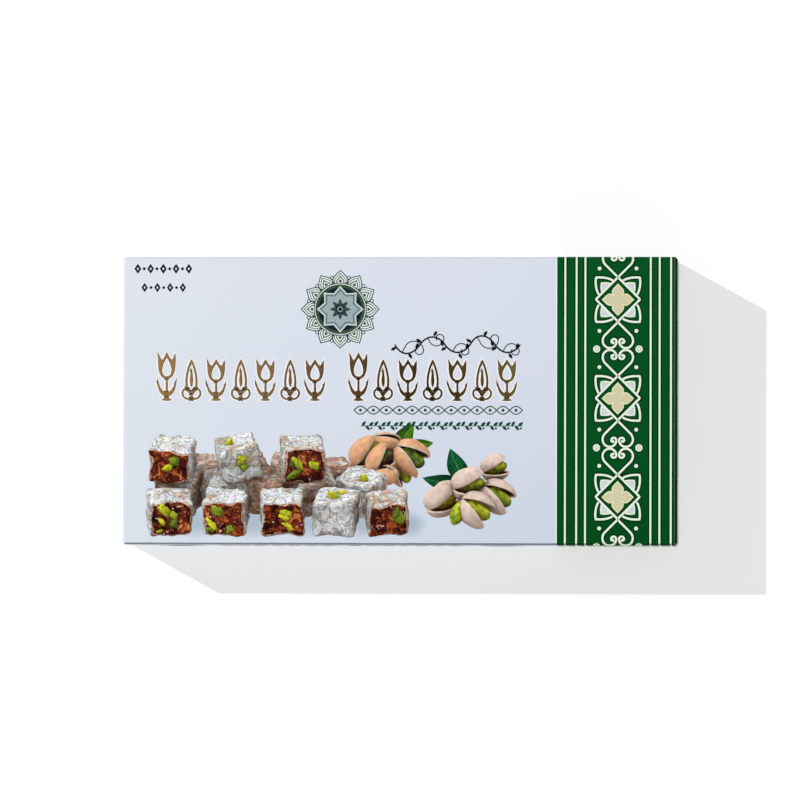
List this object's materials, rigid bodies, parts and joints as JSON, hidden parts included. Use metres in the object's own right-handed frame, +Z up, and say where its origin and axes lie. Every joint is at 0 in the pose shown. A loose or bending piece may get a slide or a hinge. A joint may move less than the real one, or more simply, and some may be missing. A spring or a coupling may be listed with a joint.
{
  "type": "turkish delight carton",
  "caption": "Shut folding carton of turkish delight, lying flat: a low oblong box with tuck ends, a pale printed front and a dark green ornamental band near an end.",
  "frame": {"origin": "middle of the underside (back panel), on the surface the carton lies on", "axes": "+X along the length, towards the end with the green band; +Y across the width, towards the top of the print; +Z up, out of the printed front panel"},
  "size_m": [0.177, 0.092, 0.03],
  "materials": {
    "coated_board": "satin coated, printed"
  },
  "bodies": {
    "root": {"carton": "coated_board"}
  },
  "joints": []
}
